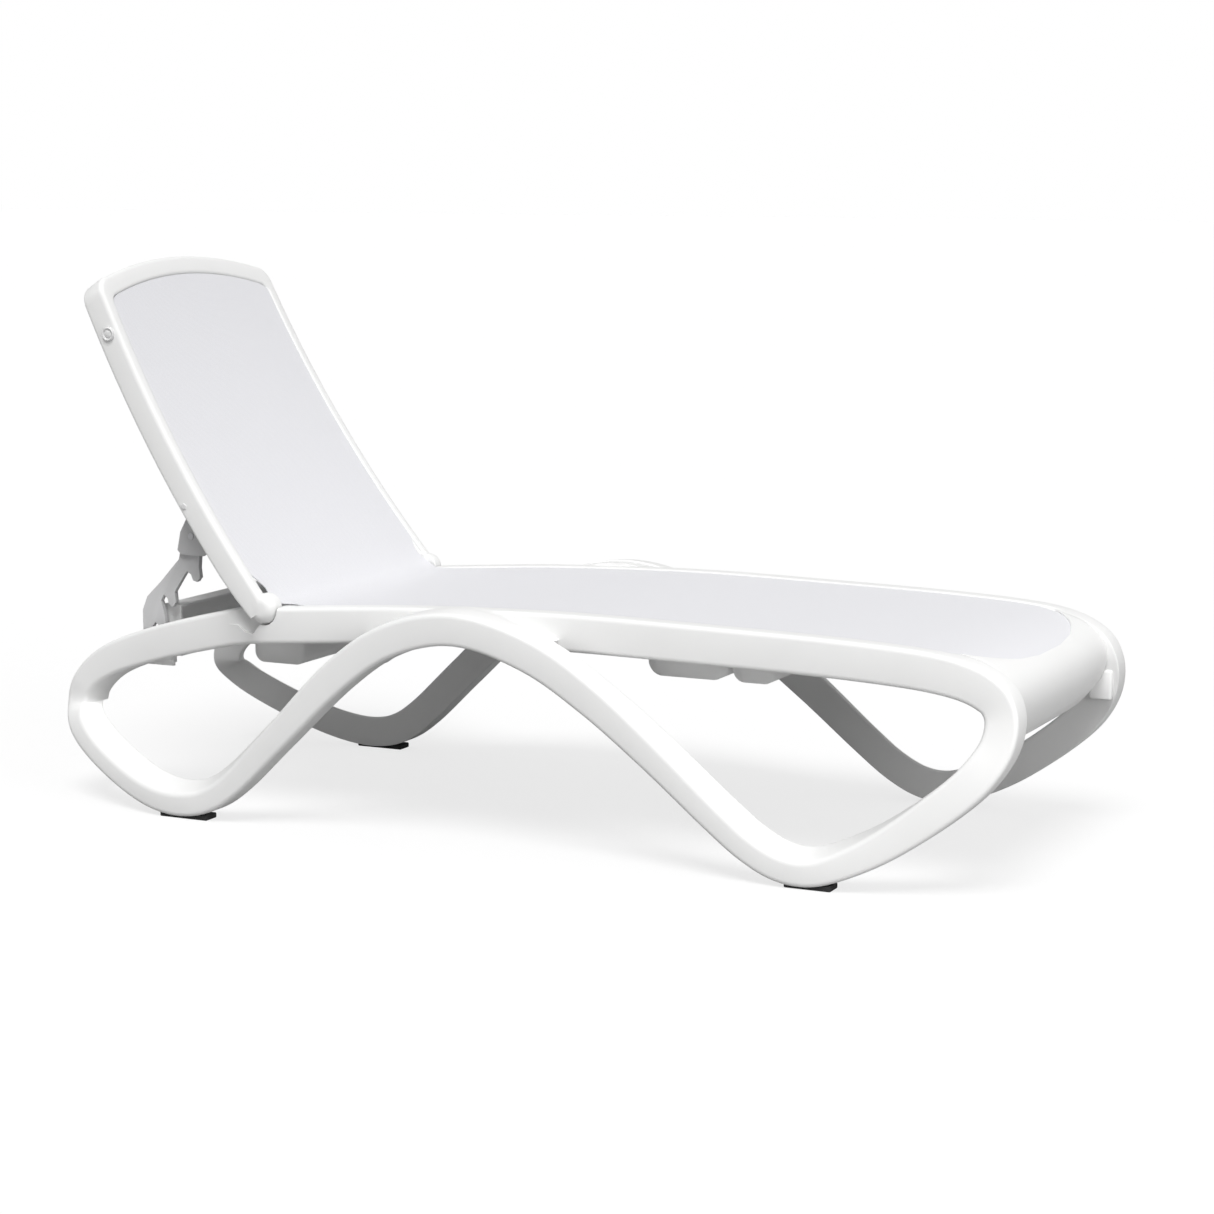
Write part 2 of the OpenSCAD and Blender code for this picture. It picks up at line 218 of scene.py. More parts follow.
def moulded(name, colour, rough, grain_scale=900, grain=0.12, spread=0.03, specular=0.4):
    made, nodes, links, shader = node_material(name)
    shader.inputs["Specular IOR Level"].default_value = specular
    where = nodes.new("ShaderNodeTexCoord")
    fine = nodes.new("ShaderNodeTexNoise")
    fine.inputs["Scale"].default_value = grain_scale
    fine.inputs["Detail"].default_value = 3
    broad = nodes.new("ShaderNodeTexNoise")
    broad.inputs["Scale"].default_value = 5
    broad.inputs["Detail"].default_value = 2
    tint = nodes.new("ShaderNodeValToRGB")
    tint.color_ramp.elements[0].position = 0.3
    tint.color_ramp.elements[1].position = 0.7
    tint.color_ramp.elements[0].color = (*[c * (1 - spread) for c in colour], 1)
    tint.color_ramp.elements[1].color = (*colour, 1)
    gloss = nodes.new("ShaderNodeMapRange")
    gloss.inputs["To Min"].default_value = rough - 0.05
    gloss.inputs["To Max"].default_value = rough + 0.07
    bump = nodes.new("ShaderNodeBump")
    bump.inputs["Strength"].default_value = grain
    bump.inputs["Distance"].default_value = 0.0004
    for noise in (fine, broad):
        links.new(where.outputs["Object"], noise.inputs["Vector"])
    links.new(broad.outputs["Fac"], tint.inputs["Fac"])
    links.new(tint.outputs["Color"], shader.inputs["Base Color"])
    links.new(fine.outputs["Fac"], gloss.inputs["Value"])
    links.new(gloss.outputs["Result"], shader.inputs["Roughness"])
    links.new(fine.outputs["Fac"], bump.inputs["Height"])
    links.new(bump.outputs["Normal"], shader.inputs["Normal"])
    return made


white_resin = moulded("white_resin", (0.83, 0.83, 0.825), 0.42)
prop_resin = moulded("grey_prop_resin", (0.6, 0.6, 0.605), 0.45)
cap_resin = moulded("pale_cap_resin", (0.72, 0.72, 0.72), 0.4)
pad_rubber = moulded("pad_rubber", (0.035, 0.035, 0.036), 0.8, 400, 0.3, 0.2, 0.3)
print("resin materials made")

# %% [markdown]
# The rods and pins are metal. Drawn metal has fine lines along its length, so the noise is
# stretched: its scale is small along the rod, which lies across the lounger, and large
# around it.


# %% Materials: drawn metal
def drawn_metal(name, colour, rough):
    made, nodes, links, shader = node_material(name)
    shader.inputs["Metallic"].default_value = 1
    where = nodes.new("ShaderNodeTexCoord")
    stretch = nodes.new("ShaderNodeMapping")
    stretch.inputs["Scale"].default_value = (900, 12, 900)
    lines = nodes.new("ShaderNodeTexNoise")
    lines.inputs["Scale"].default_value = 1
    tint = nodes.new("ShaderNodeValToRGB")
    tint.color_ramp.elements[0].color = (*[c * 0.85 for c in colour], 1)
    tint.color_ramp.elements[1].color = (*colour, 1)
    gloss = nodes.new("ShaderNodeMapRange")
    gloss.inputs["To Min"].default_value = rough - 0.08
    gloss.inputs["To Max"].default_value = rough + 0.12
    links.new(where.outputs["Object"], stretch.inputs["Vector"])
    links.new(stretch.outputs["Vector"], lines.inputs["Vector"])
    links.new(lines.outputs["Fac"], tint.inputs["Fac"])
    links.new(tint.outputs["Color"], shader.inputs["Base Color"])
    links.new(lines.outputs["Fac"], gloss.inputs["Value"])
    links.new(gloss.outputs["Result"], shader.inputs["Roughness"])
    return made


rod_metal = drawn_metal("drawn_aluminium", (0.75, 0.75, 0.77), 0.3)
pin_metal = drawn_metal("stainless_pin", (0.62, 0.62, 0.63), 0.25)
print("metal materials made")

# %% [markdown]
# Sling cloth is a mesh of coated yarns. The weave is drawn from a UV map that is laid out in
# metres along and across the cloth, so the yarns follow it over every bend. Two sets of
# round yarns alternate over and under: a checker picks which set is on top, and the gaps
# between yarns are lower, with painted shade that darkens them and the yarns' sides.


# %% Material: woven sling
def woven_sling(name, colour, pitch=0.0022):
    made, nodes, links, shader = node_material(name)
    shader.inputs["Roughness"].default_value = 0.62
    shader.inputs["Specular IOR Level"].default_value = 0.35
    shader.inputs["Sheen Weight"].default_value = 0.08
    cloth_map = nodes.new("ShaderNodeUVMap")
    cloth_map.uv_map = "cloth"
    parts = nodes.new("ShaderNodeSeparateXYZ")
    links.new(cloth_map.outputs["UV"], parts.inputs["Vector"])

    def maths(kind, *values):
        node = nodes.new("ShaderNodeMath")
        node.operation = kind
        for k, value in enumerate(values):
            if isinstance(value, (int, float)):
                node.inputs[k].default_value = value
            else:
                links.new(value, node.inputs[k])
        return node.outputs["Value"]

    across = maths("DIVIDE", parts.outputs["X"], pitch)
    along = maths("DIVIDE", parts.outputs["Y"], pitch)
    warp = maths("ABSOLUTE", maths("SINE", maths("MULTIPLY", across, math.pi)))
    weft = maths("ABSOLUTE", maths("SINE", maths("MULTIPLY", along, math.pi)))
    parity = maths("PINGPONG", maths("ADD", maths("FLOOR", across), maths("FLOOR", along)), 1)
    sway = maths("MULTIPLY", parity, 0.3)
    over = maths("MULTIPLY", maths("POWER", warp, 0.6), maths("SUBTRACT", 1.15, sway))
    under = maths("MULTIPLY", maths("POWER", weft, 0.6), maths("ADD", 0.85, sway))
    height = maths("MINIMUM", maths("MAXIMUM", over, under), 1.1)
    # Painted shade: the colour follows the weave's height, so the gaps and the sides of the yarns are
    # darkened to 0.72 of the yarn colour.
    tint = nodes.new("ShaderNodeValToRGB")
    tint.color_ramp.elements[0].position = 0.45
    tint.color_ramp.elements[0].color = (*[c * 0.72 for c in colour], 1)
    tint.color_ramp.elements[1].position = 0.85
    tint.color_ramp.elements[1].color = (*colour, 1)
    bump = nodes.new("ShaderNodeBump")
    bump.inputs["Strength"].default_value = 0.35
    bump.inputs["Distance"].default_value = 0.0003
    links.new(height, tint.inputs["Fac"])
    links.new(tint.outputs["Color"], shader.inputs["Base Color"])
    links.new(height, bump.inputs["Height"])
    links.new(bump.outputs["Normal"], shader.inputs["Normal"])
    return made


sling_cloth = woven_sling("woven_sling", (0.75, 0.75, 0.775))
print("sling material made")

# %% [markdown]
# Each side frame is one closed band: the seat rail, the head nose, the wave that makes the
# two feet and the crest, and the foot nose. Its route is a short list of chosen points, the
# same ones that the CAD is drawn from, with a smooth curve through them. The noses swing
# inward to let loungers stack, so each point also has its inset from the feet.

# %% Route of a side frame
RAIL, NOSE = 66, 97
LOOP = [
    (-440, 351, 60, RAIL), (-500, 343, 60, RAIL + 18),
    (-560, 331, 60, NOSE - 5), (-690, 297, 58, NOSE),
    (-790, 257, 52, NOSE), (-846, 206, 42, NOSE),
    (-860, 155, 38, NOSE - 2), (-838, 114, 36, 70),
    (-783, 74, 34, 45), (-700, 33, 34, 20),
    (-630, 10, 36, 5), (-567, 4, 39, 0),
    (-510, 17, 39, 0), (-454, 54, 39, 0),
    (-370, 133, 43, 0), (-254, 240, 52, 0),
    (-160, 301, 53, 0), (-50, 325, 52, 0),
    (70, 295, 53, 0), (175, 236, 50, 0),
    (280, 160, 44, 0), (380, 80, 40, 0),
    (440, 36, 39, 0), (495, 10, 39, 0),
    (550, 4, 39, 0), (605, 18, 41, 3),
    (680, 54, 48, 13), (760, 109, 54, 25),
    (822, 166, 55, 38), (855, 225, 53, 54),
    (857, 283, 53, 64), (826, 328, 57, RAIL),
    (750, 357, 60, RAIL), (600, 369, 60, RAIL),
    (350, 375, 60, RAIL), (100, 378, 60, RAIL),
    (-150, 371, 60, RAIL), (-310, 361, 60, RAIL),
]
STEPS = 8


def curve_through(rows, steps):
    """A smooth closed curve (Catmull-Rom) through the rows."""
    n = len(rows)
    out = []
    for i in range(n):
        p0, p1, p2, p3 = (rows[(i + k) % n] for k in (-1, 0, 1, 2))
        for s in range(steps):
            t = s / steps
            out.append([
                0.5 * (2 * b + (c - a) * t + (2 * a - 5 * b + 4 * c - d) * t * t
                       + (3 * b - a - 3 * c + d) * t ** 3)
                for a, b, c, d in zip(p0, p1, p2, p3)
            ])
    return out


ROUTE = [(x * LENGTH_SCALE, z * HEIGHT_SCALE, w, inset) for x, z, w, inset in curve_through(LOOP, STEPS)]


def station(i):
    return ROUTE[i % len(ROUTE)]


def inward(i, n):
    """The point n millimetres inside the outer edge at a station, in side view."""
    (x0, z0), (x1, z1) = station(i - 1)[:2], station(i + 1)[:2]
    long = math.hypot(x1 - x0, z1 - z0)
    return station(i)[0] - (z1 - z0) / long * n, station(i)[1] + (x1 - x0) / long * n


def at_row(row):
    return round(row * STEPS)


SEAT_STATIONS = range(at_row(31), len(ROUTE))
print("route stations", len(ROUTE))

# %% [markdown]
# The section has a flat outer face with rounded edges, a face that slopes out to the wider
# inner side, and, along the seat, a shallow step that the sling lies in. The step grows from
# nothing over a few stations, so that the rail runs smoothly into the foot nose.

# %% Side frames
STEP_DEPTH = 6.5
LIP = 11


def step_at(i):
    """Depth of the sling's step at a station of the seat rail."""
    x = station(i)[0]
    if i not in SEAT_STATIONS:
        return 0.0
    from_foot = min(max((760 - x) / 60, 0), 1)
    from_hinge = min(max((x + 405) / 20, 0), 1)
    return STEP_DEPTH * from_foot * from_hinge


def band_ring(i):
    w = station(i)[2]
    step = step_at(i)
    corners = [
        (0, 0, 8), (w, 0, 8), (max(w, BAND_IN), BAND, 6),
        (step, BAND, 2.0), (step, BAND - LIP, 1.0), (0, BAND - LIP - 1.5, 2.5),
    ]
    ring = []
    for n, t in soft_section(corners):
        x, z = inward(i, n)
        ring.append(Vector((x, t - (HALF - station(i)[3]), z)))
    return ring


SOCKET_IN, SOCKET_OUT = 261, 330


def crest_web(name):
    """The solid that joins the crest to the seat rail where they run side by side."""
    a, b = at_row(15.5), at_row(18.25)
    outline = [inward(i, 3) for i in range(a, b)]
    outline += [inward(i, BAND_IN - 2.5) for i in range(b - 1, a - 1, -1)]
    near, far = -(HALF - BAND + 8), -(RAIL_OUT - 6)
    return skin(name, [[Vector((x, y, z)) for x, z in outline] for y in (near, far)])


def knuckle_socket(name):
    """The hollow in the rail that the backrest's knuckle and heel turn in."""
    hx, _, hz = HINGE
    heel = [(-4, -24), (-24, -45), (-45, -45), (-60, -34), (-150, -33), (-150, 80), (0, 80)]
    rounded = soft_section([(a, b, 5) for a, b in heel])
    return skin(name, [[Vector((hx + a, y, hz + b)) for a, b in rounded]
                       for y in (-SOCKET_IN, -SOCKET_OUT)])


def round_socket(name):
    """The round part of that hollow, a loose fit around the knuckle."""
    hx, _, hz = HINGE
    wall = [(27.5, 0), (27.5, 60)]
    return spun(name, wall, lambda p: Vector((hx + p.x, -SOCKET_IN - p.y, hz + p.z)), 64)


side_frame_right = skin("side_frame_right", [band_ring(i) for i in range(len(ROUTE))], closed=True)
cut_or_join(side_frame_right, crest_web("web"), "UNION")
cut_or_join(side_frame_right, knuckle_socket("heel_room"), "DIFFERENCE")
cut_or_join(side_frame_right, round_socket("knuckle_room"), "DIFFERENCE")
smooth_shaded(side_frame_right, 34)
side_frame_right.data.materials.append(white_resin)
side_frame_left = mirrored(side_frame_right, "side_frame_left")
for piece, node in ((side_frame_right, "leg_frame_right"), (side_frame_left, "leg_frame_left")):
    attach(piece, "base")
    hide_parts(node)
print("side frame faces", len(side_frame_right.data.polygons))

# %% [markdown]
# The foot end is a thin curved panel between the noses. It leaves the level of the rails
# past the end of the sling, falls back a little from the noses and ends in an apron. A
# shallow bed with round corners is cut into it where the sling ends, so that the cloth lies
# flush with the panel around it.

# %% Foot panel
PANEL_FIRST, PANEL_LEVEL, PANEL_LAST = at_row(29), at_row(31.5), at_row(33)
PANEL_DROP = 26
END_BOW = 10
APRON = 18
SLING_END = 820 * LENGTH_SCALE
END_LENGTH = 120
END_POWER = 2.6


def sling_half_width(x, grow=0.0):
    """Half width of the seat sling at a place along the lounger, round at its foot end."""
    into = (x - (SLING_END - END_LENGTH)) / END_LENGTH
    if into <= 0:
        return SLING_HALF + grow
    return SLING_HALF * max(1 - into ** END_POWER, 0) ** (1 / END_POWER) + grow


def panel_ring(i):
    """A section across the lounger: top skin, then underside; it falls back at both ends."""
    drop = PANEL_DROP * (max(0, PANEL_LEVEL - i) / (PANEL_LEVEL - PANEL_FIRST)) ** 1.5
    side = RAIL_IN - 0.6
    ring = []
    for level, sign in ((0.0, 1), (11.5, -1)):
        for k in range(33):
            y = sign * side * (k / 16 - 1)
            bow = END_BOW * min(1, drop / PANEL_DROP) * abs(y / side) ** 4
            x, z = inward(i, drop + level + bow)
            ring.append(Vector((x, y, z)))
    return ring


def apron_ring(below):
    """The panel's lower edge, carried on below its last station."""
    (x0, _, z0), (x1, _, z1) = panel_ring(PANEL_FIRST)[0], panel_ring(PANEL_FIRST + 1)[0]
    on = Vector((x0 - x1, 0, z0 - z1)).normalized() * below
    return [p + on for p in panel_ring(PANEL_FIRST)]


def sling_bed(name):
    """What is cut away for the cloth: thin slices that follow its rounded end."""
    rings = []
    for i in range(PANEL_LAST + 2, at_row(30), -1):
        x = station(i)[0]
        wide = sling_half_width(x, 0.8) if x < SLING_END else 0
        if wide > 20:
            low, high = inward(i, 6.5), inward(i, -20)
            rings.append([Vector((low[0], -wide, low[1])), Vector((low[0], wide, low[1])),
                          Vector((high[0], wide, high[1])), Vector((high[0], -wide, high[1]))])
    return skin(name, rings)


panel_rings = [panel_ring(i) for i in range(PANEL_FIRST, PANEL_LAST + 1)]
foot_end = skin("foot_end_panel", [apron_ring(APRON)] + panel_rings)
cut_or_join(foot_end, sling_bed("bed"), "DIFFERENCE")
soft = foot_end.modifiers.new("soft_edges", "BEVEL")
soft.width = 1.6 * MM
soft.segments = 2
soft.limit_method = "ANGLE"
soft.angle_limit = math.radians(50)
smooth_shaded(applied(foot_end), 40)
foot_end.data.materials.append(white_resin)
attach(foot_end, "base")
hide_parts("foot_panel")
print("foot panel faces", len(foot_end.data.polygons))

# %% [markdown]
# The backrest frame is one moulding too: two side members, an arched top and round knuckles
# on the hinge line. It is drawn lying flat with its face up, on a shallow arc that makes the
# hollow of the back, and is then turned up about the hinge, as the CAD does. A ring of the
# section goes round the outline, from one knuckle over the top to the other.

# %% Backrest outline
BACK_R = 2385
BACK_LEN = 660
TAPER, STILE, TOP_BAR, TOP_RISE, FRAME_T = 28, 25, 38, 28, 45
KNUCKLE_OUT = RAIL_OUT + 10
KNUCKLE_IN = RAIL_OUT - 22
TOP_W = KNUCKLE_OUT - TAPER
TOP_U = BACK_LEN - TOP_RISE


def face_level(u):
    """Height of the backrest's face over the chord, u along it from the hinge."""
    return BACK_R - 5 - math.sqrt(BACK_R ** 2 - (u - 0.443 * BACK_LEN) ** 2)


def raised(u, y, n):
    """From along, across and above the flat backrest to its raised place."""
    c, s = math.cos(BACK_ANGLE), math.sin(BACK_ANGLE)
    return Vector((HINGE[0] - u * c + n * s, y, HINGE[2] + u * s + n * c))


def back_outline(u0, w0, w1, top, rise, radius, side_steps=14, turn_steps=8, arch_steps=24):
    """Points (u, y) up one side, round the corner, over the arch and down again."""
    a = w1 - radius
    arch_r = (a * a + rise * rise) / (2 * rise)
    half = [(u0 + (top - radius - u0) * k / side_steps, w0 + (w1 - w0) * k / side_steps)
            for k in range(side_steps)]
    for k in range(turn_steps):
        t = math.pi / 2 * k / turn_steps
        half.append((top - radius + radius * math.sin(t), a + radius * math.cos(t)))
    for k in range(arch_steps // 2 + 1):
        y = a * (1 - k / (arch_steps / 2))
        half.append((top + rise - arch_r + math.sqrt(arch_r ** 2 - y * y), y))
    return [(u, -y) for u, y in half] + [(u, y) for u, y in half[-2::-1]]


outer = back_outline(-4, KNUCKLE_OUT, TOP_W, TOP_U, TOP_RISE, 34)
inner = back_outline(-4, KNUCKLE_OUT - STILE, TOP_W - STILE, TOP_U - TOP_BAR, TOP_RISE, 20)


def depth_at(u):
    """Depth of the side members, which thins towards the knuckles."""
    return min(FRAME_T, face_level(u) + 25.5 + 0.23 * max(u, 0))


def back_ring(out, into):
    """The section between an outer and an inner point of the outline."""
    across = Vector(into) - Vector(out)
    wide = across.length
    deep = depth_at(out[0])
    corners = [
        (0, 0, 9), (wide - 5, 0, 5), (wide - 4.2, -6.5, 1), (wide, -6.5, 2.5),
        (wide, -deep, 4), (0, -deep, 6),
    ]
    ring = []
    for a, n in soft_section(corners):
        u, y = Vector(out) + across * (a / wide)
        ring.append(raised(u, y, face_level(u) + n))
    return ring


# %% [markdown]
# The knuckles are drums with domed faces, and one cross bar hides behind the cloth. The real
# frame comes out of its mould with all of these in one piece, so they are joined to the
# side members by a boolean, and the joints are then shaded as one surface.


# %% Backrest frame
def knuckle(name, side):
    """The round knuckle: a drum with a domed outer face."""
    r, thick, dome = 25, KNUCKLE_OUT - KNUCKLE_IN, 17
    arc = [(r - dome + dome * math.cos(math.radians(a)), thick - dome + dome * math.sin(math.radians(a)))
           for a in range(0, 86, 12)]
    profile = [(6.5, 0), (r - 1.5, 0), (r, 1.5), *arc, (0.4, thick)]
    return spun(name, profile, lambda p: raised(p.x, side * (KNUCKLE_IN + p.y), p.z), 56)


def cross_bar(name, u0, u1, n0, n1, half):
    """A rounded bar between the side members."""
    section = soft_section([(u0, n0, 4), (u1, n0, 4), (u1, n1, 4), (u0, n1, 4)])
    return skin(name, [[raised(u, y, n) for u, n in section] for y in (-half, half)])


backrest = skin("backrest_frame", [back_ring(a, b) for a, b in zip(outer, inner)])
for side in (-1, 1):
    cut_or_join(backrest, knuckle("knuckle", side), "UNION")
cut_or_join(backrest, cross_bar("bar", 165, 215, -46, -26, KNUCKLE_OUT - TAPER * 190 / TOP_U - 8), "UNION")
smooth_shaded(backrest, 38)
backrest.data.materials.append(white_resin)
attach(backrest, "backrest")
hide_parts("back_frame")
print("backrest faces", len(backrest.data.polygons))

# %% [markdown]
# On the real lounger one cloth runs from the foot end over the hinge and up the backrest,
# held in grooves along both sides. So it is one sheet here. Its line in side view follows
# the seat, turns through a soft bend over the hinge line and follows the hollow of the back.

# %% Sling
CLOTH_T = 1.6
CLOTH_SINK = 3.2
BACK_START = 62  # where the bend over the hinge has become the straight back part
SEAT_STOP = -372  # where the seat part ends and the bend begins
TOP_CORNER = 22
UNDER = 4  # how far the cloth runs on under the frame around it


def seat_line():
    """Points (x, z, half width) of the seat part, from the foot end to the hinge."""
    line = [inward(i, CLOTH_SINK) for i in range(at_row(30.5), len(ROUTE))]
    ends = [SLING_END - 0.6 - END_LENGTH * (k / 14) ** 2 for k in range(14)]
    out = []
    for x in ends:
        (x0, z0), (x1, z1) = next((a, b) for a, b in zip(line, line[1:]) if a[0] >= x > b[0])
        out.append((x, z0 + (z1 - z0) * (x - x0) / (x1 - x0), sling_half_width(x, -0.6)))
    out += [(x, z, SLING_HALF - 0.6) for x, z in line if SEAT_STOP < x <= SLING_END - END_LENGTH]
    return out


def back_line():
    """Points (u, half width) of the back part, from the hinge to the arched top."""
    last = TOP_U - TOP_BAR + UNDER
    return [BACK_START + (last - BACK_START) * k / 60 for k in range(61)]


def back_half_width(u):
    w0, w1 = KNUCKLE_OUT - STILE + UNDER, TOP_W - STILE + UNDER
    wide = w0 + (w1 - w0) * u / (TOP_U - 20)
    into = u - (TOP_U - TOP_BAR + UNDER - TOP_CORNER)
    if into > 0:
        wide += -TOP_CORNER + math.sqrt(max(TOP_CORNER ** 2 - into ** 2, 0))
    return wide


ACROSS = 40
rows = []
for x, z, wide in seat_line():
    rows.append([Vector((x, wide * (2 * k / ACROSS - 1), z)) for k in range(ACROSS + 1)])
seat_end = rows[-1][0].copy()
start_b = raised(BACK_START, 0, face_level(BACK_START) - CLOTH_SINK)
BEND_ROWS = 24
SLIT = 13  # depth of the two cuts in each edge that clear the knuckle
CORNER_PULL = 3  # a larger pull makes a tighter bend
for k in range(1, BEND_ROWS):
    t = k / BEND_ROWS
    a = Vector((seat_end.x, 0, seat_end.z))
    c = Vector((HINGE[0] + 9, 0, seat_end.z + 0.3))
    pull = 2 * CORNER_PULL * t * (1 - t)
    mid = ((1 - t) ** 2 * a + pull * c + t * t * start_b) / ((1 - t) ** 2 + pull + t * t)
    side = SLING_HALF + (back_half_width(BACK_START) - SLING_HALF) * t
    side -= SLIT * max(0, 1 - abs(t - 0.18) / 0.16, 1 - abs(t - 0.88) / 0.2)
    rows.append([Vector((mid.x, side * (2 * j / ACROSS - 1), mid.z)) for j in range(ACROSS + 1)])
for u in back_line():
    wide = back_half_width(u)
    line = []
    for j in range(ACROSS + 1):
        share = 2 * j / ACROSS - 1
        climb = max(0, (u - BACK_START) / (TOP_U - TOP_BAR + UNDER - BACK_START)) ** 3
        rise = TOP_RISE * (1 - share * share) * climb
        line.append(raised(u + rise, wide * share, face_level(u + rise) - CLOTH_SINK))
    rows.append(line)


def sheet_object(name, grid, thick):
    """A sheet from a grid of points in millimetres, with a map in metres along and across it."""
    wide = len(grid[0])
    faces = [(i * wide + j, i * wide + j + 1, (i + 1) * wide + j + 1, (i + 1) * wide + j)
             for i in range(len(grid) - 1) for j in range(wide - 1)]
    piece = mesh_object(name, [p for row in grid for p in row], faces)
    along = [0.0]
    for a, b in zip(grid, grid[1:]):
        along.append(along[-1] + (a[wide // 2] - b[wide // 2]).length)
    layer = piece.data.uv_layers.new(name="cloth")
    for loop in piece.data.loops:
        i, j = divmod(loop.vertex_index, wide)
        layer.data[loop.index].uv = (grid[i][j].y * MM, along[i] * MM)
    solid = piece.modifiers.new("thick", "SOLIDIFY")
    solid.thickness = thick * MM
    solid.offset = 0
    return applied(piece), along[-1] * MM


sling, sling_length = sheet_object("sling", rows, CLOTH_T)
smooth_shaded(sling, 40)
sling.data.materials.append(sling_cloth)
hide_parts("seat_sling", "back_sling")
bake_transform(sling)

# %% [markdown]
# The remaining CAD nodes have the right shape, but their edges are razor sharp, and no
# moulding or turned part is. Each gets a softened twin: a copy of its mesh with a small
# bevel on every sharp edge. The beams under the seat keep their edges: their trays are
# hidden, and a bevel would tear their thin end walls. Each twin stands for its node and
# rides on the same body.


# %% Softened twins of the hard parts
def softened(node, name, material, slot, width, body, segments=3):
    """A copy of a CAD node's mesh with bevelled edges; a width of 0 leaves them sharp."""
    source = frame["nodes"][node]
    mesh = source.data.copy()
    bm = bmesh.new()
    bm.from_mesh(mesh)
    bmesh.ops.remove_doubles(bm, verts=bm.verts, dist=0.00002)
    if width:
        bmesh.ops.dissolve_limit(bm, angle_limit=math.radians(1), verts=bm.verts, edges=bm.edges)
    bm.to_mesh(mesh)
    bm.free()
    twin = bpy.data.objects.new(name, mesh)
    bpy.context.scene.collection.objects.link(twin)
    if width:
        soft = twin.modifiers.new("soft_edges", "BEVEL")
        soft.width = width * MM
        soft.segments = segments
        soft.limit_method = "ANGLE"
        soft.angle_limit = math.radians(32)
        applied(twin)
    twin.data.materials.clear()
    twin.data.materials.append(material)
    smooth_shaded(twin, 42)
    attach(twin, body)
    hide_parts(node)
    return twin


TWINS = [
    ("hinge_crossbeam", "beam_under_hinge", white_resin, "resin_white", 0, "base"),
    ("mid_crossbeam", "beam_under_seat", white_resin, "resin_white", 0, "base"),
    ("front_crossbeam", "beam_under_shins", white_resin, "resin_white", 0, "base"),
    ("rear_crossbar", "rear_bar", white_resin, "resin_white", 1.6, "base"),
    ("catch_rod", "rod_of_the_catch", rod_metal, "rod", 1.0, "base"),
    ("prop_rod", "rod_of_the_props", rod_metal, "rod", 1.0, "prop"),
    ("crossbar_screws", "screws_of_the_bar", cap_resin, "pin", 0.7, "backrest"),
]
for side in ("right", "left"):
    TWINS += [
        (f"foot_lug_{side}", f"nose_lug_{side}", white_resin, "resin_white", 4.0, "base"),
        (f"pad_head_{side}", f"rubber_pad_head_{side}", pad_rubber, "foot_pad", 2.0, "base"),
        (f"pad_foot_{side}", f"rubber_pad_foot_{side}", pad_rubber, "foot_pad", 2.0, "base"),
        (f"hinge_pin_{side}", f"pin_of_the_hinge_{side}", pin_metal, "pin", 0.8, "base"),
        (f"prop_bracket_{side}", f"bracket_{side}", prop_resin, "prop_grey", 1.2, "backrest"),
        (f"prop_arm_{side}", f"toothed_arm_{side}", prop_resin, "prop_grey", 1.4, "prop"),
    ]
for row in TWINS:
    softened(*row)
print("softened twins", len(TWINS))

# %% [markdown]
# The caps near the top of the backrest close the ends of a moulded boss. Each is a shallow
# dish: a rim, a groove inside it and a slightly domed middle. Its profile is spun about the
# axis across the lounger.


# %% Side caps
def side_cap(name, side, node):
    low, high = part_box(node)
    middle = (low + high) / 2 / MM
    face = abs(low.y if side < 0 else high.y) / MM
    r = (high.z - low.z) / 2 / MM
    profile = [(r - 2, face - 14), (r, face - 12), (r, face - 1.4), (r - 1.2, face),
               (r - 3, face - 0.3), (r - 4, face - 1.6), (r - 5, face - 1.0),
               (r - 8, face - 0.2), (0.4, face)]
    cap = spun(name, profile, lambda p: Vector((middle.x + p.x, side * p.y, middle.z + p.z)), 48)
    cap.data.materials.append(cap_resin)
    smooth_shaded(cap, 50)
    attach(cap, "backrest")
    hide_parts(node)
    return cap


for side, word in ((-1, "right"), (1, "left")):
    side_cap(f"cap_{word}", side, f"side_cap_{word}")
print("caps made")

# %% [markdown]
# The studio is a wide pale floor under a white sky, as for a catalogue. A high, very soft
# sun gives the shape, a weak low one and a square lamp light the faces at the foot end. The
# camera sees a share of plain glow in the floor, so its shadows stay faint. Other rays see
# the floor's own middle grey, so it sends little light up and the undersides stay dark.


# %% Studio
GLOW_SHARE = 0.35
GLOW = 2.15


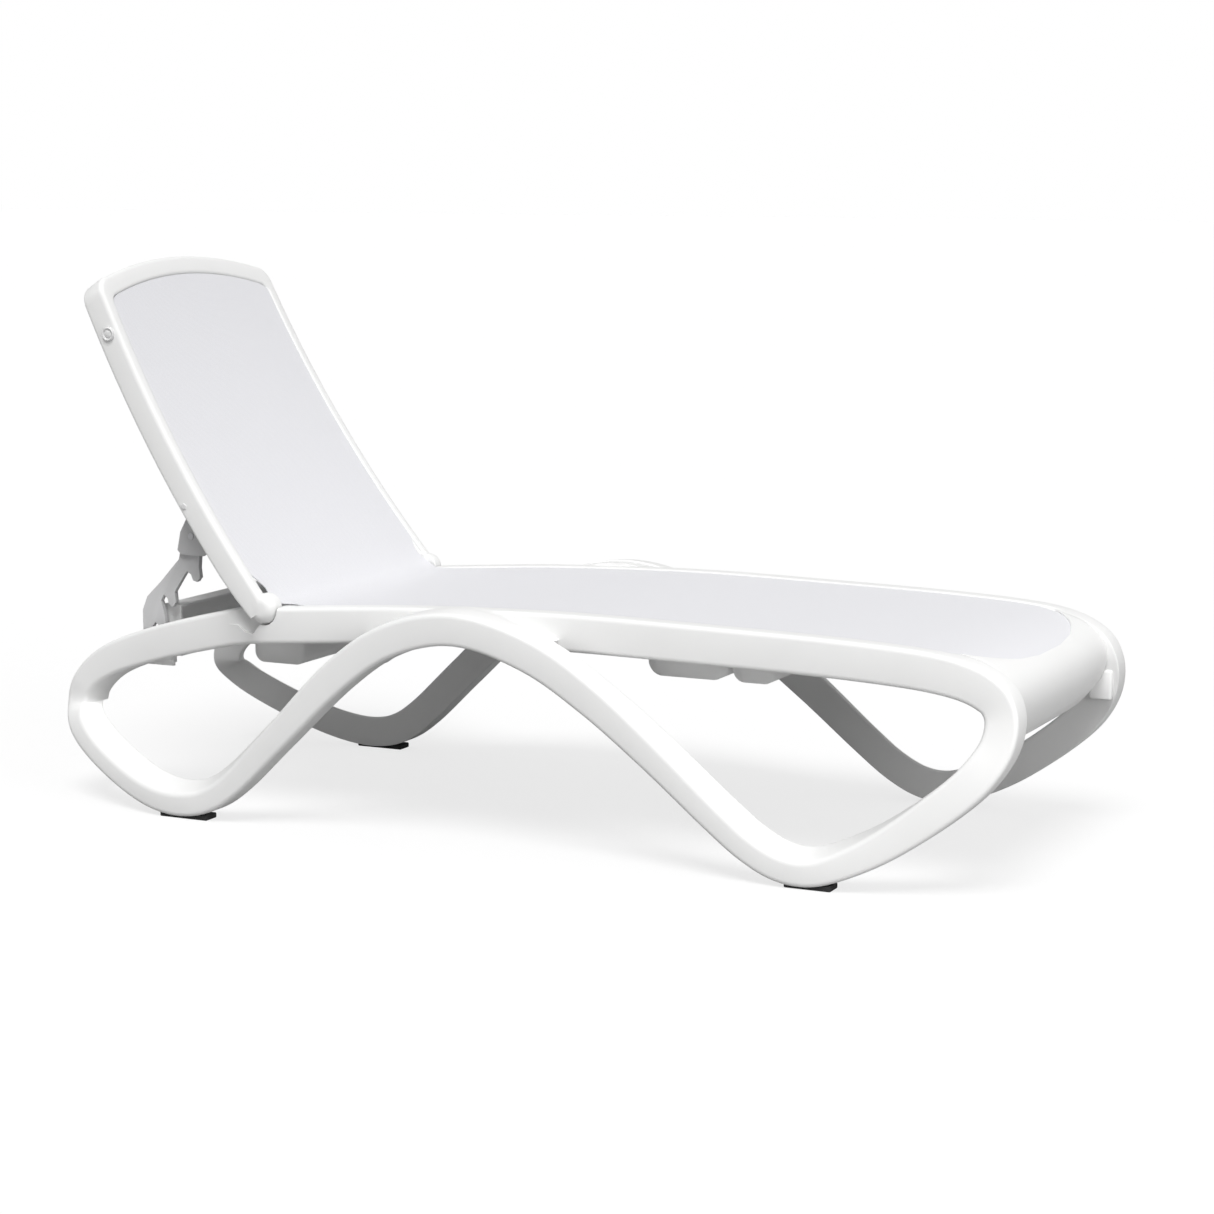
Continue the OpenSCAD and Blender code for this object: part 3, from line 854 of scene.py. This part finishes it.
def studio_floor():
    mesh = bpy.data.meshes.new("floor")
    mesh.from_pydata([(-40, -40, 0), (40, -40, 0), (40, 40, 0), (-40, 40, 0)], [], [(0, 1, 2, 3)])
    floor = bpy.data.objects.new("floor", mesh)
    bpy.context.scene.collection.objects.link(floor)
    made, nodes, links, shader = node_material("studio_floor")
    shader.inputs["Roughness"].default_value = 0.9
    shader.inputs["Specular IOR Level"].default_value = 0.0
    grain = nodes.new("ShaderNodeTexNoise")
    grain.inputs["Scale"].default_value = 40
    level = nodes.new("ShaderNodeMapRange")
    level.inputs["To Min"].default_value = 0.335
    level.inputs["To Max"].default_value = 0.345
    glow = nodes.new("ShaderNodeEmission")
    glow.inputs["Strength"].default_value = GLOW
    seen = nodes.new("ShaderNodeLightPath")
    share = nodes.new("ShaderNodeMapRange")
    share.inputs["To Max"].default_value = GLOW_SHARE
    mix = nodes.new("ShaderNodeMixShader")
    links.new(grain.outputs["Fac"], level.inputs["Value"])
    links.new(level.outputs["Result"], shader.inputs["Base Color"])
    links.new(seen.outputs["Is Camera Ray"], share.inputs["Value"])
    links.new(share.outputs["Result"], mix.inputs["Fac"])
    links.new(shader.outputs["BSDF"], mix.inputs[1])
    links.new(glow.outputs["Emission"], mix.inputs[2])
    links.new(mix.outputs["Shader"], nodes["Material Output"].inputs["Surface"])
    mesh.materials.append(made)
    return floor


def studio_sky(strength):
    world = bpy.data.worlds.new("sky")
    bpy.context.scene.world = world
    world.use_nodes = True
    nodes, links = world.node_tree.nodes, world.node_tree.links
    sky = nodes["Background"]
    sky.inputs["Color"].default_value = (1, 1, 1, 1)
    seen = nodes.new("ShaderNodeLightPath")
    level = nodes.new("ShaderNodeMapRange")
    level.inputs["To Min"].default_value = strength
    level.inputs["To Max"].default_value = 1.0
    links.new(seen.outputs["Is Camera Ray"], level.inputs["Value"])
    links.new(level.outputs["Result"], sky.inputs["Strength"])


def studio_sun(name, strength, elevation, azimuth, softness):
    """A soft sun; azimuth 0 shines from -Y, and grows towards +X."""
    sun = bpy.data.objects.new(name, bpy.data.lights.new(name, "SUN"))
    sun.data.energy = strength
    sun.data.angle = math.radians(softness)
    e, a = math.radians(elevation), math.radians(azimuth)
    towards = Vector((math.sin(a) * math.cos(e), -math.cos(a) * math.cos(e), math.sin(e)))
    sun.rotation_euler = towards.to_track_quat("Z", "Y").to_euler()
    bpy.context.scene.collection.objects.link(sun)
    return sun


def studio_panel(name, power, place, target, size):
    """A square soft light near the foot end, aimed at a point."""
    lamp = bpy.data.objects.new(name, bpy.data.lights.new(name, "AREA"))
    lamp.data.energy = power
    lamp.data.size = size
    lamp.location = place
    lamp.rotation_euler = (Vector(place) - Vector(target)).to_track_quat("Z", "Y").to_euler()
    bpy.context.scene.collection.objects.link(lamp)
    return lamp


studio_floor()
studio_sky(0.35)
studio_sun("key", 2.6, 60, 18, 28)
studio_sun("fill", 0.55, 24, 70, 40)
studio_panel("soft_panel", 15, (2.6, -1.8, 0.9), (0.5, 0, 0.3), 1.0)
bpy.context.scene.view_settings.view_transform = "Standard"
print("studio ready")
